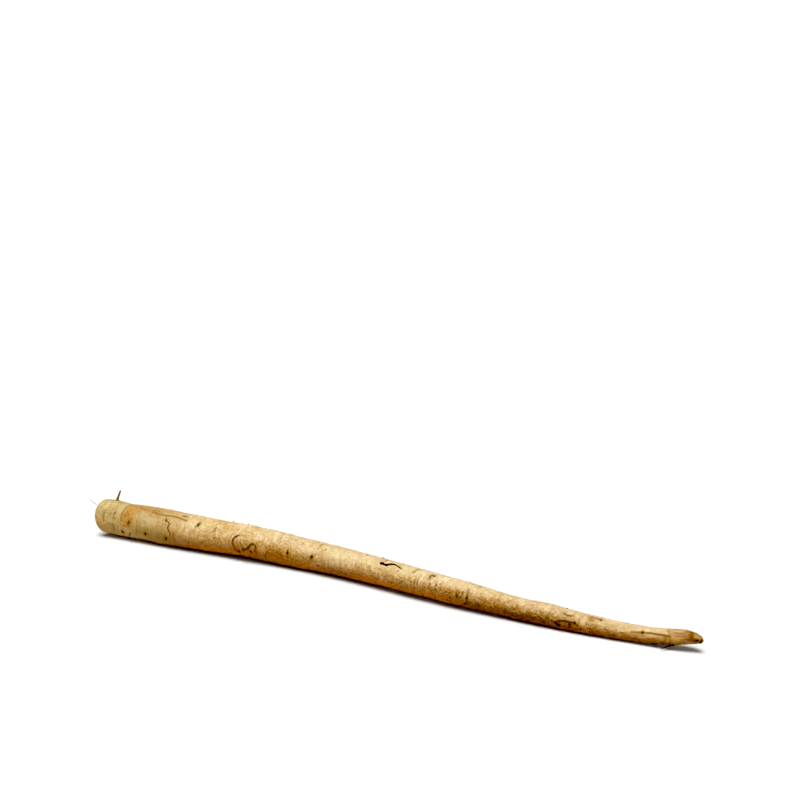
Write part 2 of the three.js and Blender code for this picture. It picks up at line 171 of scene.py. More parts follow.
# Thin marks: route of (x, angle), half width, depth, darkness, and the mask that colours them,
# brown where none is named.
MARKS = [
    ([(7.7, 56), (8.3, 71), (9, 88)], 0.45, 0.15, 0.8),
    ([(9, 58), (13, 56), (17, 54)], 0.5, 0.1, 0.5),
    ([(17.3, 92), (18.1, 113)], 0.6, 0.2, 0.7, "scar"),
    ([(30.5, 3), (27.1, 6), (25.4, 14), (24.6, 30), (24.2, 52), (25, 72)], 0.6, 0.15, 0.85),
    ([(38, 12), (43, 18), (51.3, 23)], 0.8, 0.1, 0.5),
    ([(51.3, 23), (54.3, 25), (59.3, 28), (66.7, 27), (71, 25), (75, 24), (79, 27), (82.2, 30),
      (86, 32)], 0.8, 0.45, 1.0),
    ([(74, 24), (78.5, 27), (82, 30), (85.5, 31.5)], 1.1, 0.3, 0.9),
    ([(51, 13), (58.5, 19), (63, 23)], 0.6, 0.15, 0.6),
    ([(61, 20), (70, 20), (76, 19.5), (81, 24)], 0.9, -0.3, 1.0, "pale"),
    ([(79.5, 14), (82.1, 15), (85.2, 16)], 0.6, 0.2, 0.85, "scar"),
    ([(96.2, 49), (97.7, 39), (99, 31)], 0.6, 0.2, 0.8, "scar"),
    ([(114.7, 37), (114.2, 45), (113.5, 54)], 0.7, 0.25, 1.0),
    ([(114.9, 36), (114.2, 46), (113.2, 56)], 0.55, 0.0, 0.4, "scar"),
    ([(110.6, 58), (111.7, 54), (112.6, 48)], 0.7, -0.2, 1.6, "pale"),
    ([(113.6, 74), (114.2, 66), (114.4, 60)], 0.5, -0.15, 1.3, "pale"),
    ([(76.6, 83), (77, 96), (78.1, 111)], 0.6, 0.15, 0.7),
    ([(138.6, 76), (139.5, 83), (141, 91)], 0.5, 0.2, 0.85),
    ([(133, 117), (134.4, 119), (135.6, 121)], 0.7, -0.2, 1.0, "pale"),
    ([(165.5, 76), (170, 76), (173, 78), (175.5, 83), (177.5, 95), (178.5, 109)], 0.5, 0.0, 0.8),
    ([(175.5, 84), (177.5, 95), (178.5, 109)], 0.4, 0.0, 0.45, "scar"),
    ([(161, 68), (165, 68), (169.5, 69), (174, 70)], 0.4, 0.0, 0.45),
    ([(162, 76), (166.5, 81), (170.5, 83), (174, 87), (176, 98)], 0.45, 0.0, 0.7),
    ([(165, 95), (169, 92), (172, 98), (174.5, 106)], 0.5, 0.0, 0.8),
    ([(163.5, 90), (162.5, 103), (161.5, 116)], 0.5, 0.0, 0.7),
    ([(182.2, 64), (182.1, 79), (182.5, 93)], 0.5, 0.3, 0.95, "scar"),
    ([(208.4, 12), (209.2, 5), (210.8, 0)], 0.7, 0.1, 0.8),
    ([(267.5, 8), (266.6, -8), (265.7, -25)], 0.8, 0.15, 0.9),
    ([(294.4, 31), (294.8, 15), (296, 0)], 0.8, 0.2, 1.0),
    ([(300.4, 64), (300.6, 80)], 0.5, 0.15, 0.6, "scar"),
    ([(308.8, 38), (308.4, 28), (308.5, 18), (309.2, 12), (311.2, 18)], 1.1, 0.25, 1.0),
    ([(308.7, 36), (308.5, 20), (309.2, 13), (311.2, 18)], 0.5, 0.15, 0.7, "scar"),
    ([(332.9, 56), (333.2, 84), (334, 96)], 0.7, 0.2, 0.9),
    ([(341.2, 40), (341.7, 76), (342, 108)], 0.7, 0.2, 0.9),
    ([(335.8, 73), (337.2, 70)], 0.7, -0.2, 1.0, "pale"),
    ([(338.6, 70), (339.6, 65)], 0.6, -0.2, 1.0, "pale"),
    ([(335.6, 88), (337.4, 87), (339.4, 84)], 0.6, -0.2, 0.9, "pale"),
    ([(343.5, 129), (347, 138), (350, 146)], 0.6, -0.2, 0.9, "pale"),
    ([(345.5, 2), (348.5, 0)], 0.6, 0.15, 0.6, "scar"),
    ([(410.6, 99), (411.8, 90), (413.2, 80), (417.6, 76.5), (422.6, 76),
      (426, 88)], 0.8, 0.25, 1.0),
    ([(413.4, 79), (417.6, 76), (422.6, 76)], 0.6, 0.1, 0.75, "scar"),
    ([(407, 97), (409.6, 101), (411.4, 109), (412.6, 117)], 0.9, 0.3, 0.85, "scar"),
    ([(388, 104), (392, 99), (395, 97)], 0.5, 0.15, 0.6, "scar"),
    ([(414.4, 35.5), (416.4, 38.5), (418.4, 39.5), (420.2, 38), (421.4, 34.5)], 0.8, 0.3, 1.0),
    ([(415.6, 38), (417, 39.5), (418.6, 39.5), (420, 38)], 0.55, 0.1, 0.7, "scar"),
    ([(433, 19), (436.5, 15), (440, 17)], 0.9, 0.15, 0.95),
    (CRACK, 0.6, 0.4, 1.0),
    ([(474, 55), *CRACK[2:]], 0.45, 0.1, 0.4, "scar"),
    (CRACK, 0.8, 0.0, 0.95),
    ([(490.5, -30), (488.8, 5), (489.6, 37), (489.4, 65), (490.8, 95), (489, 130)], 0.6, 0.15, 0.7),
    ([(503, -12), (503.6, 8), (504.3, 32), (503.6, 58)], 1.3, 0.25, 0.95),
    ([(492, 78), (497, 90), (503, 96)], 1.0, 0.1, 0.1),
    ([(502.2, 40), (502.8, 58), (502.6, 76), (502, 90)], 0.8, 0.0, 0.9),
    ([(486, 66), (488, 82), (487, 98)], 0.8, 0.15, 0.8),
    ([(462, 118), (466, 112), (470, 118)], 0.9, 0.1, 0.6),
]
HALO_SHARE = 2.6

# Patches of each mask, stains and painted shade: (x, angle, half length along, half length round in
# mm, strength, raggedness).
STAINS_AND_SHADE = {
    "brown": [
        (33, 72, 2.6, 3.2, 0.45, 0.5), (294.4, 31, 1.2, 1.2, 0.8, 0.4),
        (420, 96, 7, 3.6, 0.4, 0.35), (494, 110, 8, 2.6, 0.5, 0.5), (505, 80, 4.2, 1.9, 0.9, 0.25),
        (507, 104, 2.8, 2.4, 0.6, 0.3), (435.3, 33, 2.4, 1.2, 0.7, 0.5),
    ],
    "orange": [
        (31, 44, 6.4, 10.5, 1.0, 0.35), (37, 14, 9, 4.5, 0.7, 0.5), (31, 80, 5.5, 5, 0.75, 0.5),
        (120, 122, 28, 4, 0.75, 0.5), (262, 122, 36, 4.5, 0.85, 0.5),
        (200, 118, 28, 4.5, 0.5, 0.6), (312, 120, 30, 4.5, 0.85, 0.5), (171, 98, 14, 5, 0.8, 0.6),
        (137, 104, 5, 3.4, 0.8, 0.5), (150, 104, 6, 3.4, 0.7, 0.5), (420, 94, 8, 4.2, 1.0, 0.3),
        (440, 122, 40, 3.5, 0.5, 0.6), (492, 100, 9, 3.5, 0.7, 0.5),
        (434.5, 34, 3.6, 2.2, 1.0, 0.5),
    ],
    "pale": [
        (21.5, 26, 2.6, 9, 0.35, 0.5), (48, 52, 11, 6.5, 0.5, 0.6), (108, 44, 12, 5, 0.5, 0.6),
        (240, 34, 30, 6, 0.55, 0.6), (92, 30, 12, 5, 0.35, 0.6), (160, 20, 40, 6, 0.4, 0.6),
        (300, 12, 30, 4.5, 0.5, 0.6), (334, 22, 22, 4, 0.4, 0.6), (228, 68, 24, 4.5, 0.75, 0.5),
        (201, 56, 7, 4, 0.8, 0.4),
    ],
    "olive": [
        (22, 104, 10, 6, 0.8, 0.6), (40, 100, 9, 6, 0.6, 0.6), (62, 98, 9, 7, 0.5, 0.6),
        (128, 96, 16, 6, 0.4, 0.6),
    ],
    # Painted shade: darker patches along the low side, where less light falls.
    "painted_low_shade": [
        (368, 110, 80, 10, 1.0, 0.4), (172, 100, 36, 6, 0.6, 0.5), (470, 126, 26, 3.5, 0.7, 0.5),
        (416, 106, 16, 6, 0.3, 0.4),
    ],
    "knot": [
        (411.4, 103, 2.6, 3.4, 0.9, 0.45), (422, 117, 9, 2.6, 0.7, 0.6),
        (417, 77, 7, 1.2, 0.5, 0.5), (437, 116, 5, 2, 0.7, 0.5), (488, 130, 9, 2.5, 0.5, 0.6),
        (386, 112, 24, 3.5, 0.5, 0.6), (510, 90, 3.0, 2.2, 0.9, 0.4),
        (506.5, 84, 2.4, 1.5, 0.6, 0.5), (345, 118, 8, 3, 0.4, 0.6), (230, 112, 16, 3, 0.3, 0.6),
        (503.6, 28, 1.3, 5.5, 0.55, 0.3), (444, 118, 16, 2.4, 0.5, 0.6),
    ],
}
TIP_STAIN = 489.0

# Bent wrinkles round a knot: (x, angle, reach, spacing, depth).
EYES = [
    (178, 88, 18, 2.2, 0.2), (337, 96, 9, 2.0, 0.1), (410, 108, 9, 2.2, 0.12),
    (70, 112, 7, 1.9, 0.08), (97, 262, 14, 2.4, 0.12), (240, 220, 13, 2.3, 0.12),
    (372, 300, 10, 2.1, 0.1),
]
EYE_SQUASH = 0.62

# Broken rootlet stubs.
STUBS = 14
STUB_RADIUS = 0.85
STUB_HEIGHT = 0.6
STUB_SINK = 0.64
STUB_RAGGED = 0.9
STUB_SIDES = 9
STUB_TOP_SHARE = 0.62
STUB_TONE = 1.35
STUB_TONE_FALL = 1.15

# Rootlets: route of (x, angle, height), thickness at both ends, and tone at both ends
# (0 near black, 0.5 brown, 1 golden, 2 pale).
ROOTLETS = [
    ([(10.2, -8, -2), (11, -8, 0.1), (11.7, -8, 2.8), (12.6, -8, 6), (13.5, -8, 9.6)],
     (2.6, 1.3), (0.95, 0.75)),
    ([(2.5, 36, -1.4), (-0.4, 36, 0.2), (-3.5, 35, 3.2), (-5.2, 35, 7.7)], (0.8, 0.55), (1.8, 2.0)),
    ([(67.8, 37, -1), (67.6, 45, 0.3), (70.6, 50, 0.4), (71.8, 56, 0.3), (71.1, 67, 0.4),
      (72.6, 78, 0.3), (73.9, 85, 0.4), (73.6, 95, 0.1)], (0.8, 0.6), (0.25, 0.35)),
    ([(138.4, 50, -1.2), (136.1, 54, 0.3), (133.9, 60, 0.5), (132.3, 71, 0.5), (132.3, 83, 0.5),
      (133.5, 95, 0.5), (135.1, 107, 0.5), (138.7, 120, 0.2)], (0.8, 1.4), (0.8, 0.3)),
    ([(140.2, 103, -1.2), (142, 101, 0.5), (144, 98, 0.6), (146, 93, 0.5), (147.4, 84, 0.5),
      (149.1, 75, 0.6), (151.1, 71, 0.6), (152.9, 75, 0.6), (153.2, 84, 0.5), (152.6, 92, 0.6),
      (153.6, 100, 0.6), (154.2, 112, 0.3)], (1.5, 0.6), (0.1, 0.6)),
    ([(148, 100, -1), (148.6, 103, 0.3), (150.4, 112, 0.2)], (1.0, 0.5), (0.1, 0.15)),
    ([(265.2, 32, -1.3), (265.9, 30, 0.3), (267, 29, 0.5), (268.3, 30, 0.3)],
     (2.5, 1.9), (0.0, 0.1)),
    ([(267.2, 29, 0.2), (269.6, 31, 0.5), (271.9, 26, 0.7), (274.2, 20.5, 0.7), (276.7, 17.5, 0.7),
      (279.9, 22, 0.6), (281.8, 26, 0.7), (284.2, 30, 0.6)],
     (1.35, 0.6), (0.05, 0.2)),
    ([(269, 36, -0.6), (271.4, 33, 0.3), (273.6, 25, 0.3), (275.8, 20, 0.2)],
     (0.8, 0.5), (0.15, 0.3)),
    ([(492.4, 140, -1), (491.8, 138, 0.3), (490, 135, 0.9), (488.4, 132, 1.7)],
     (1.7, 1.1), (0.0, 0.0)),
    ([(489, 133, 1.2), (487.6, 130, 2.2), (486.1, 128, 3.3), (485, 127, 4.3), (484.4, 129, 4.7)],
     (0.9, 0.45), (0.0, 0.08)),
    ([(475.6, 144, -1), (477.4, 140, 0.2), (479.4, 136, 0.6), (481.6, 133, 1.1)],
     (0.85, 0.5), (0.0, 0.15)),
    ([(34, 112, -1), (33, 120, 1), (32.4, 130, 2.4), (33.4, 139, 2.6)], (0.7, 0.5), (0.3, 0.2)),
]
HIDDEN_ROOTLETS = 7
THREAD_STEPS = 7

# Soft noise that shapes the mesh: bumps a millimetre and seed.
COARSE_NOISE = 0.45, 5
FINE_NOISE = 1.1, 6
CUT_NOISE = 0.9, 21
FINE_CUT_NOISE = 2.3, 22
TIP_NOISE = 1.1, 23
RAY_SEED = 31


# ---- Curves, seeded chance and soft noise ----

def through(points, s):
    """Smooth values at s through given points (s, value)."""
    at, value = np.array(points, float).T
    inner = (value[2:] - value[:-2]) / (at[2:] - at[:-2])
    outer = np.diff(value) / np.diff(at)
    slope = np.concatenate([outer[:1], inner, outer[-1:]])
    s = np.clip(np.asarray(s, float), at[0], at[-1])
    i = np.clip(np.searchsorted(at, s, side="right") - 1, 0, len(at) - 2)
    step = at[i + 1] - at[i]
    u = (s - at[i]) / step
    keep = 2 * u**3 - 3 * u**2 + 1
    lean = (u**3 - 2 * u**2 + u) * step * slope[i] + (u**3 - u**2) * step * slope[i + 1]
    return keep * value[i] + (1 - keep) * value[i + 1] + lean


def chance(number, salt):
    """Repeatable chance from 0 to 1 for item number, with a salt for each use."""
    value = math.sin(number * 12.9898 + salt * 78.233) * 43758.5453
    return value - math.floor(value)


def spread_out(number, count, first, short, salt, share=1.0):
    """x of one of count items along the root, each by chance a little past its even place."""
    return first + (LENGTH - short) * (number + share * chance(number, salt)) / count


def lattice(cell, seed):
    """Repeatable value from -1 to 1 for each whole-number cell."""
    mixed = cell[..., 0] * 73856093 + cell[..., 1] * 19349663 + cell[..., 2] * 83492791
    mixed = (mixed + seed * 2654435761) & 0xFFFFFFFF
    mixed = ((mixed ^ (mixed >> 15)) * 2246822519) & 0xFFFFFFFF
    mixed = ((mixed ^ (mixed >> 13)) * 3266489917) & 0xFFFFFFFF
    return (mixed ^ (mixed >> 16)) / 0x7FFFFFFF - 1


def soft_noise(points, bumps, seed):
    """Smooth noise from -1 to 1 with so many bumps a unit."""
    points = points * bumps
    cell = np.floor(points).astype(np.int64)
    inside = points - cell
    weight = inside * inside * (3 - 2 * inside)
    total = 0.0
    for corner in itertools.product((0, 1), repeat=3):
        corner = np.array(corner)
        share = np.prod(np.where(corner, weight, 1 - weight), axis=-1)
        total = total + share * lattice(cell + corner, seed)
    return total


def rise(value, low, high):
    """0 below low, 1 above high, smooth between. low may be above high."""
    u = np.clip((value - low) / (high - low), 0, 1)
    return u * u * (3 - 2 * u)


def bell(value, width):
    """1 at zero, fading to nothing a few widths away."""
    return np.exp(-((value / width) ** 2))


def turn_between(a, b):
    """Turn from angle b to angle a, -180 to 180 degrees."""
    return (a - b + 180) % 360 - 180


# ---- The root's form ----

def skin_radius(x, angle):
    turn = 2 * np.pi * x / LENGTH
    oval = OVAL * np.cos(2 * np.radians(angle) + OVAL_TURN * turn)
    lobes = LOBES * np.cos(3 * np.radians(angle) + LOBES_TURN * turn)
    return CROWN_RADIUS * through(PROFILE, x) * (1 + oval + lobes)


def middle_line(x):
    x = np.asarray(x, float)
    y = through(BEND, x) - MIDDLE_Y
    return np.stack([x - MIDDLE_X, y, skin_radius(x, 180) + through(LIFT, x)], -1)


def section(x):
    """Directions of the cross-section at x: along the root, up and front."""
    inside = np.clip(x, 1, LENGTH - 1)
    along = middle_line(inside + 1) - middle_line(inside - 1)
    along /= np.linalg.norm(along, axis=-1, keepdims=True)
    up = np.array([0, 0, 1.0]) - along[..., 2:] * along
    up /= np.linalg.norm(up, axis=-1, keepdims=True)
    return along, up, np.cross(along, up)


def place(x, angle, height=0.0, share=1.0):
    """Point above the skin, in mm in the part's frame. Past either end it runs straight on."""
    x = np.asarray(x, float)
    inside = np.clip(x, 0, LENGTH)
    along, up, front = section(inside)
    reach = (share * skin_radius(inside, angle) + height)[..., None]
    turn = np.radians(np.asarray(angle, float))[..., None]
    out = up * np.cos(turn) + front * np.sin(turn)
    return middle_line(inside) + along * (x - inside)[..., None] + out * reach


def slanted(x, angle):
    """Both ends are cut and broken a little out of square."""
    around = np.radians(angle)
    for lean, fade in (
        (CROWN_LEAN, np.maximum(1 - x / CROWN_FADE, 0)),
        (TIP_LEAN, np.maximum(1 - (LENGTH - x) / TIP_FADE, 0)),
    ):
        x = x + fade * (lean[0] + lean[1] * np.cos(around) + lean[2] * np.sin(around))
    return x


def straightened(x, angle, share=1.0):
    """The place on a straightened root, where noise meets no seam."""
    radius = CROWN_RADIUS * through(PROFILE, x) * share
    turn = np.radians(angle)
    return np.stack([x + 0 * turn, radius * np.cos(turn), radius * np.sin(turn)], -1)


# ---- What the skin carries ----

MASKS = ("crease", "scar", "halo", "brown", "orange", "pale", "olive", "painted_low_shade", "knot", "tip")


def ring_creases():
    creases = []
    x = FIRST_CREASE
    number = 0
    while x < LAST_CREASE:
        angle = 360 * chance(number, 1)
        reach = CREASE_REACH + CREASE_REACH_SPREAD * chance(number, 2)
        depth = CREASE_DEPTH + CREASE_DEPTH_SPREAD * chance(number, 3)
        creases.append((x, angle, reach, depth, CREASE_WIDTH))
        step = CREASE_STEP + CREASE_STEP_GROWTH * x / LENGTH
        x += step * (0.7 + 0.6 * chance(number, 4))
        number += 1
    return creases


def fine_wrinkles():
    wrinkles = []
    for number in range(WRINKLES):
        x = spread_out(number, WRINKLES, 3, 12, 41)
        angle = 360 * chance(number, 42)
        reach = WRINKLE_REACH + WRINKLE_REACH_SPREAD * chance(number, 43) ** 2
        depth = WRINKLE_DEPTH * (0.3 + 0.7 * chance(number, 44))
        width = WRINKLE_WIDTH * (0.7 + 0.8 * chance(number, 45))
        wrinkles.append((x, angle, reach, depth, width))
    return wrinkles


def all_scars():
    scars = list(SCARS)
    for number in range(HIDDEN_SCARS):
        x = spread_out(number, HIDDEN_SCARS, 22, 60, 11)
        size = 1.1 + 0.7 * chance(number, 13)
        tails = 3 * chance(number, 14), 3 * chance(number, 15)
        scars.append((x, 200 + 140 * chance(number, 12), size, 0.9, *tails))
    for number in range(SMALL_SCARS):
        x = spread_out(number, SMALL_SCARS, 8, 25, 51)
        size = 0.45 + 0.55 * chance(number, 52) ** 2
        dark = 0.25 + 0.5 * chance(number, 53)
        tails = 2.5 * chance(number, 54) ** 2, 2.5 * chance(number, 55) ** 2
        scars.append((x, 360 * chance(number, 56), size, dark, *tails))
    return scars


def all_stubs():
    """Place and size of each stub: (x, angle, size)."""
    return [(
        spread_out(number, STUBS, 40, 75, 21, 0.8), -140 + 280 * chance(number, 22),
        0.6 + 0.4 * chance(number, 23),
    ) for number in range(STUBS)]


def all_rootlets():
    rootlets = list(ROOTLETS)
    for number in range(HIDDEN_ROOTLETS):
        x = spread_out(number, HIDDEN_ROOTLETS, 30, 70, 31, 0.7)
        angle = -135 + 80 * chance(number, 32)
        run = 5 + 6 * chance(number, 33)
        swing = 30 * (chance(number, 34) - 0.5)
        route = [
            (x, angle, -1.2),
            (x + 0.35 * run, angle + 0.6 * swing, 0.6),
            (x + 0.7 * run, angle + swing + 8, 0.7),
            (x + run, angle + swing + 2, 0.9),
        ]
        tone = 0.5 * chance(number, 35)
        rootlets.append((route, (1.1, 0.5), (tone, tone)))
    return rootlets


class Relief:
    """Height of the skin over its smooth form, and the masks that colour it."""

    def __init__(self, x, angle):
        self.x = x
        self.angle = angle
        self.radius = CROWN_RADIUS * through(PROFILE, x)
        self.straight = straightened(x, angle)
        fine = 0.5 * soft_noise(self.straight, *FINE_NOISE)
        self.rough = soft_noise(self.straight, *COARSE_NOISE) + fine
        self.height = np.zeros_like(x)
        self.masks = {name: np.zeros_like(x) for name in MASKS}

    def window(self, x, half):
        """Rows of the grid within half of x."""
        first, last = np.searchsorted(self.x[:, 0], (x - half, x + half))
        return slice(first, last)

    def across(self, rows, angle):
        """Distance round the root from the given angle."""
        return np.radians(turn_between(self.angle[rows], angle)) * self.radius[rows]

    def mark(self, name, rows, value):
        mask = self.masks[name]
        mask[rows] = np.maximum(mask[rows], value)

    def ring(self, x, angle, reach, depth, width, salt):
        """A wavy groove with low lips, part of the way round, with painted shade in the groove."""
        rows = self.window(x, 5 * width + 2)
        turn = turn_between(self.angle[rows], angle)
        wave = 0.5 * np.sin(np.radians(2 * turn) + salt)
        wave = wave + 0.25 * np.sin(np.radians(7 * turn) + 2 * salt)
        away = self.x[rows] - x - wave + 0.3 * self.rough[rows]
        along = np.cos(np.clip(np.abs(turn) / reach, 0, 1) * np.pi / 2) ** 2
        groove = bell(away, width)
        lips = LIP_SHARE * bell(np.abs(away) / width - LIP_PLACE, 1)
        self.height[rows] -= depth * along * (groove - lips)
        self.masks["crease"][rows] += CREASE_SHADE * depth * along * groove

    def pit(self, x, angle, half, dark, tail_up=0, tail_down=0):
        """A lens-shaped scar with a raised rim and thin tails round the root."""
        rows = self.window(x, 4 * half + 2)
        across = self.across(rows, angle)
        away = self.x[rows] - x + SCAR_LEAN * across
        ragged = 0.22 * self.rough[rows]
        spread = np.hypot(away / (half * SCAR_WIDTH_SHARE), across / half) + ragged
        depth = SCAR_DEPTH * min(half / 1.5, 1.2)
        self.height[rows] -= depth * (1 - np.clip(spread, 0, 1) ** 2) ** 1.5
        self.height[rows] += SCAR_RIM * half * bell(spread - 1.5, 0.5)
        core = dark * rise(spread, 1.45, 0.45)
        length = np.where(across < 0, tail_up, tail_down) + 0.01
        lean = 0.25 * np.sin(across * 1.7 + x)
        tail = bell(away - lean, TAIL_WIDTH) * rise(np.abs(across), half + length, half * 0.5)
        tail *= 0.6 * dark * (length > 0.1)
        self.height[rows] -= TAIL_DEPTH * tail
        self.mark("scar", rows, np.maximum(core, tail))
        self.mark("halo", rows, dark * rise(spread, 3.0, 1.0))

    def line(self, route, width, depth, dark, name="brown"):
        """A thin groove along a route over the skin."""
        spots = np.array(route, float)
        low, high = spots[:, 0].min(), spots[:, 0].max()
        rows = self.window((low + high) / 2, (high - low) / 2 + 4 * width)
        best = np.full_like(self.x[rows], 99.0)
        for (x, angle), (next_x, next_angle) in zip(spots[:-1], spots[1:]):
            along = self.x[rows] - x + 0.25 * self.rough[rows]
            across = self.across(rows, angle)
            step_x = next_x - x
            step_round = np.radians(next_angle - angle) * self.radius[rows]
            share = (along * step_x + across * step_round) / (step_x**2 + step_round**2)
            share = np.clip(share, 0, 1)
            off = np.hypot(along - share * step_x, across - share * step_round)
            best = np.minimum(best, off)
        groove = bell(best, width)
        self.height[rows] -= depth * groove
        self.mark(name, rows, dark * groove)
        self.mark("halo", rows, 0.5 * dark * bell(best, HALO_SHARE * width))

    # A soft patch of a mask; most masks hold stains, one holds painted shade.
    def stain_and_shade(self, name, x, angle, long, wide, strength, ragged):
        rows = self.window(x, 1.8 * long)
        across = self.across(rows, angle)
        spread = np.hypot((self.x[rows] - x) / long, across / wide) + ragged * self.rough[rows]
        self.mark(name, rows, strength * rise(spread, 1.35, 0.45))

    def eye(self, x, angle, reach, spacing, depth):
        """Wrinkles that bend round a knot."""
        rows = self.window(x, reach + 2)
        across = self.across(rows, angle)
        spread = np.hypot(self.x[rows] - x, EYE_SQUASH * across) + 0.5 * self.rough[rows]
        wave = np.cos(2 * np.pi * spread / spacing)
        fade = rise(spread, reach, 0.4 * reach) * rise(spread, 0.8 * spacing, 1.8 * spacing)
        self.height[rows] += depth * wave * fade
        # Painted shade in the troughs of the bent wrinkles.
        self.masks["crease"][rows] += 0.6 * rise(wave, -0.1, -1) * fade


def carved_skin(x, angle):
    relief = Relief(x, angle)
    for number, crease in enumerate(ring_creases()):
        relief.ring(*crease, salt=number)
    for number, wrinkle in enumerate(fine_wrinkles()):
        relief.ring(*wrinkle, salt=1.7 * number)
    for eye in EYES:
        relief.eye(*eye)
    for scar in all_scars():
        relief.pit(*scar)
    for mark in MARKS:
        relief.line(*mark)
    for name, patches in STAINS_AND_SHADE.items():
        for stain_and_shade in patches:
            relief.stain_and_shade(name, *stain_and_shade)
    edge = x - TIP_STAIN + 1.2 * relief.rough
    upper = rise(np.cos(np.radians(angle)), 0.9, 0.4)
    relief.mark("tip", slice(None), rise(edge, 0, 2.2) * upper)
    relief.mark("tip", slice(None), rise(edge, -9, 9))
    return relief


# ---- Meshes ----

def ring_faces(rows, columns):
    """Faces of a closed grid of rings, with a pole point before and after them."""
    index = np.arange(rows * columns).reshape(rows, columns) + 1
    nxt = np.roll(index, -1, axis=1)
    quads = np.stack([index[:-1], index[1:], nxt[1:], nxt[:-1]], -1).reshape(-1, 4)[:, ::-1]
    first = [(0, b, a) for a, b in zip(index[0], nxt[0])]
    last = [(rows * columns + 1, a, b) for a, b in zip(index[-1], nxt[-1])]
    return [tuple(int(i) for i in face) for face in [*quads, *first, *last]]


def linked(name, data):
    """A new object of the data, in the scene."""
    made = bpy.data.objects.new(name, data)
    bpy.context.scene.collection.objects.link(made)
    return made


def mesh_piece(name, points, faces=(), edges=(), marks=()):
    """A mesh object from points in mm, with named numbers or vectors on its points."""
    mesh = bpy.data.meshes.new(name)
    mesh.from_pydata(points * MM, edges, faces)
    mesh.update()
    for label, values in dict(marks).items():
        values = np.asarray(values, np.float32)
        kind, field = ("FLOAT", "value") if values.ndim == 1 else ("FLOAT_VECTOR", "vector")
        layer = mesh.attributes.new(label, kind, "POINT")
        layer.data.foreach_set(field, values.ravel())
    mesh.polygons.foreach_set("use_smooth", [True] * len(mesh.polygons))
    return linked(name, mesh)


def with_poles(grid, first, last):
    """Ring values laid end to end between the values of the two poles."""
    flat = grid.reshape(-1, *grid.shape[2:])
    return np.concatenate([np.array(first)[None], flat, np.array(last)[None]])


def end_face(x, shares, edge_share):
    """Rings inside an end: share of the radius, place on a straightened root, and points."""
    share, angle = np.meshgrid(shares, COLUMN_ANGLES, indexing="ij")
    x = x + 0 * angle
    points = place(slanted(x, angle), angle, 0 * x, share * edge_share)
    return share, straightened(x, angle, share), points


def root_mesh():
    """The whole root: cut face, skin and broken tip in one closed mesh."""
    x, angle = np.meshgrid(np.linspace(0, LENGTH, ROWS), COLUMN_ANGLES, indexing="ij")
    relief = carved_skin(x, angle)
    crown = 1 - (1 - CROWN_EDGE_SHARE) * (1 - np.clip(x / CROWN_ROUND, 0, 1)) ** 2
    tip = 1 - (1 - TIP_END_SHARE) * np.clip(1 - (LENGTH - x) / TIP_ROUND, 0, 1) ** 2
    quiet = rise(x, 0, 1.5) * rise(x, LENGTH, LENGTH - 2)
    skin = place(slanted(x, angle), angle, relief.height * quiet, crown * tip)

    cut_shares = np.linspace(0, 1, CUT_RINGS + 1)[1:-1] ** 0.8
    cut_share, cut_straight, cut = end_face(0, cut_shares, CROWN_EDGE_SHARE)
    rough = 0.12 * soft_noise(cut_straight, *CUT_NOISE)
    rough += 0.06 * soft_noise(cut_straight, *FINE_CUT_NOISE)
    cut[..., 0] += CUT_DISH * rise(cut_share, 1, 0.55) + rough * rise(cut_share, 1, 0.9)

    end_shares = np.linspace(1, 0, TIP_RINGS + 1)[1:-1]
    end_share, end_straight, end = end_face(LENGTH, end_shares, TIP_END_SHARE)
    ragged = TIP_RAGGED * soft_noise(end_straight, *TIP_NOISE)
    end[..., 0] += TIP_BULGE * (1 - end_share**2) + ragged

    grid = np.concatenate([cut, skin, end])
    points = with_poles(grid, grid[0].mean(0), grid[-1].mean(0))
    points[:, 2] = np.maximum(points[:, 2], 0)

    def joined(cut_value, skin_value, end_value, first, last):
        """Values of the cut face, the skin and the tip between those of the poles."""
        parts = cut_value + 0 * cut_share, skin_value + 0 * x, end_value + 0 * end_share
        return with_poles(np.concatenate(parts), first, last)

    marks = {name: joined(0, relief.masks[name], 0, 0, 0) for name in MASKS}
    marks["tip"] = joined(0, relief.masks["tip"], 1, 0, 1)
    end_dark = 0.6 * rise(end_share, 0.9, 0.2)
    marks["knot"] = joined(0, relief.masks["knot"], end_dark, 0, 0.6)
    marks["radial"] = joined(cut_share * CROWN_EDGE_SHARE, 1, end_share, 0, 0)
    turned = np.radians(COLUMN_ANGLES) + 0 * cut_share
    rays = np.stack([8 * np.cos(turned), 8 * np.sin(turned), 1.5 * cut_share], -1)
    marks["ray"] = joined(soft_noise(rays, 1, RAY_SEED), 0, 0, 0, 0)
    marks["cut"] = joined(1, rise(x, 0.7, 0.0), 0, 1, 0)
    marks["broken"] = joined(0, rise(x, LENGTH - 1.5, LENGTH), 1, 0, 1)
    up = np.cos(np.radians(COLUMN_ANGLES))
    marks["turn"] = joined(0, up, up, 0, 0)
    straight = np.concatenate([cut_straight, relief.straight, end_straight])
    marks["straight"] = with_poles(straight, (0, 0, 0), (LENGTH, 0, 0))
    return mesh_piece("root_skin", points, ring_faces(len(grid), COLUMNS), marks=marks)


def thread_lines(routes):
    """One edge mesh of all rootlets' routes, with thickness and tone along them."""
    points, edges, thickness, tones = [], [], [], []
    for route, thick_ends, tone_ends in routes:
        corners = place(*np.array(route, float).T)
        order = np.linspace(0, 1, len(corners))
        steps = THREAD_STEPS * (len(corners) - 1)
        at = np.linspace(0, 1, steps + 1)
        start = len(points)
        points.extend(np.stack([through(list(zip(order, axis)), at) for axis in corners.T], -1))
        edges.extend((start + i, start + i + 1) for i in range(steps))
        thickness.extend(np.interp(at, (0, 1), thick_ends) * rise(at, 1.06, 0.9))
        tones.extend(np.interp(at, (0, 1), tone_ends))
    marks = {"thickness": thickness, "tone": tones}
    return mesh_piece("rootlet_lines", np.array(points), edges=edges, marks=marks)


